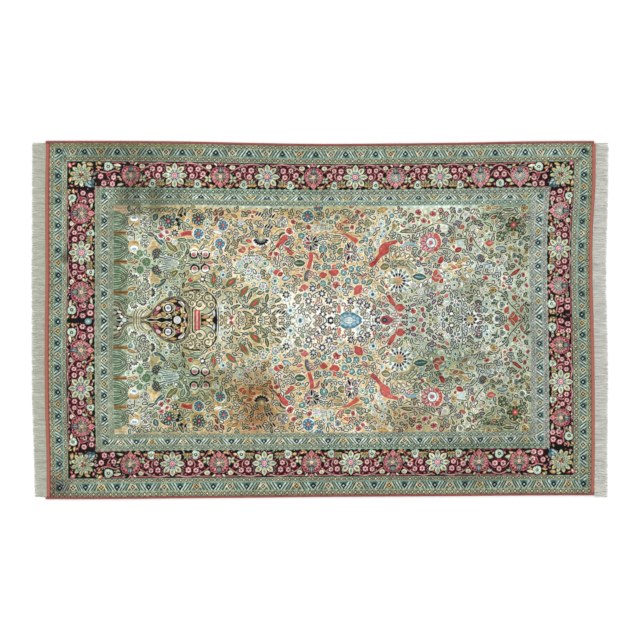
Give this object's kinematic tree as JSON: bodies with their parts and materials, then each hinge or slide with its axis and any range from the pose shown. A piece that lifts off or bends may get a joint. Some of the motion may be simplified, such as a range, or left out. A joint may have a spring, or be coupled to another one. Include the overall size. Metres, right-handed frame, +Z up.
{
  "type": "silk rug",
  "caption": "Flat hand-knotted silk rug, oblong, with wrapped long edges, a flat-woven strip and a fringe at each end; lies on a floor.",
  "frame": {"origin": "on the floor, under the middle of the whole rug with its fringes", "axes": "+X along the rug's length, towards the right end of the picture; +Y across its width; +Z up, out of the pile"},
  "size_m": [1.9572, 1.2141, 0.0064],
  "materials": {
    "pile_silk": "clipped silk pile, knotted pattern of borders and flowering tree, soft sheen",
    "selvedge_silk": "coral silk overcast in fine turns",
    "kilim_silk": "coral silk flat weave",
    "fringe_silk": "loose undyed silk warp ends, pale grey cream"
  },
  "bodies": {
    "root": {"rug_body": "pile_silk", "selvedge_back": "selvedge_silk", "selvedge_front": "selvedge_silk", "kilim_left": "kilim_silk", "kilim_right": "kilim_silk", "fringe_left": "fringe_silk", "fringe_right": "fringe_silk"}
  },
  "joints": []
}
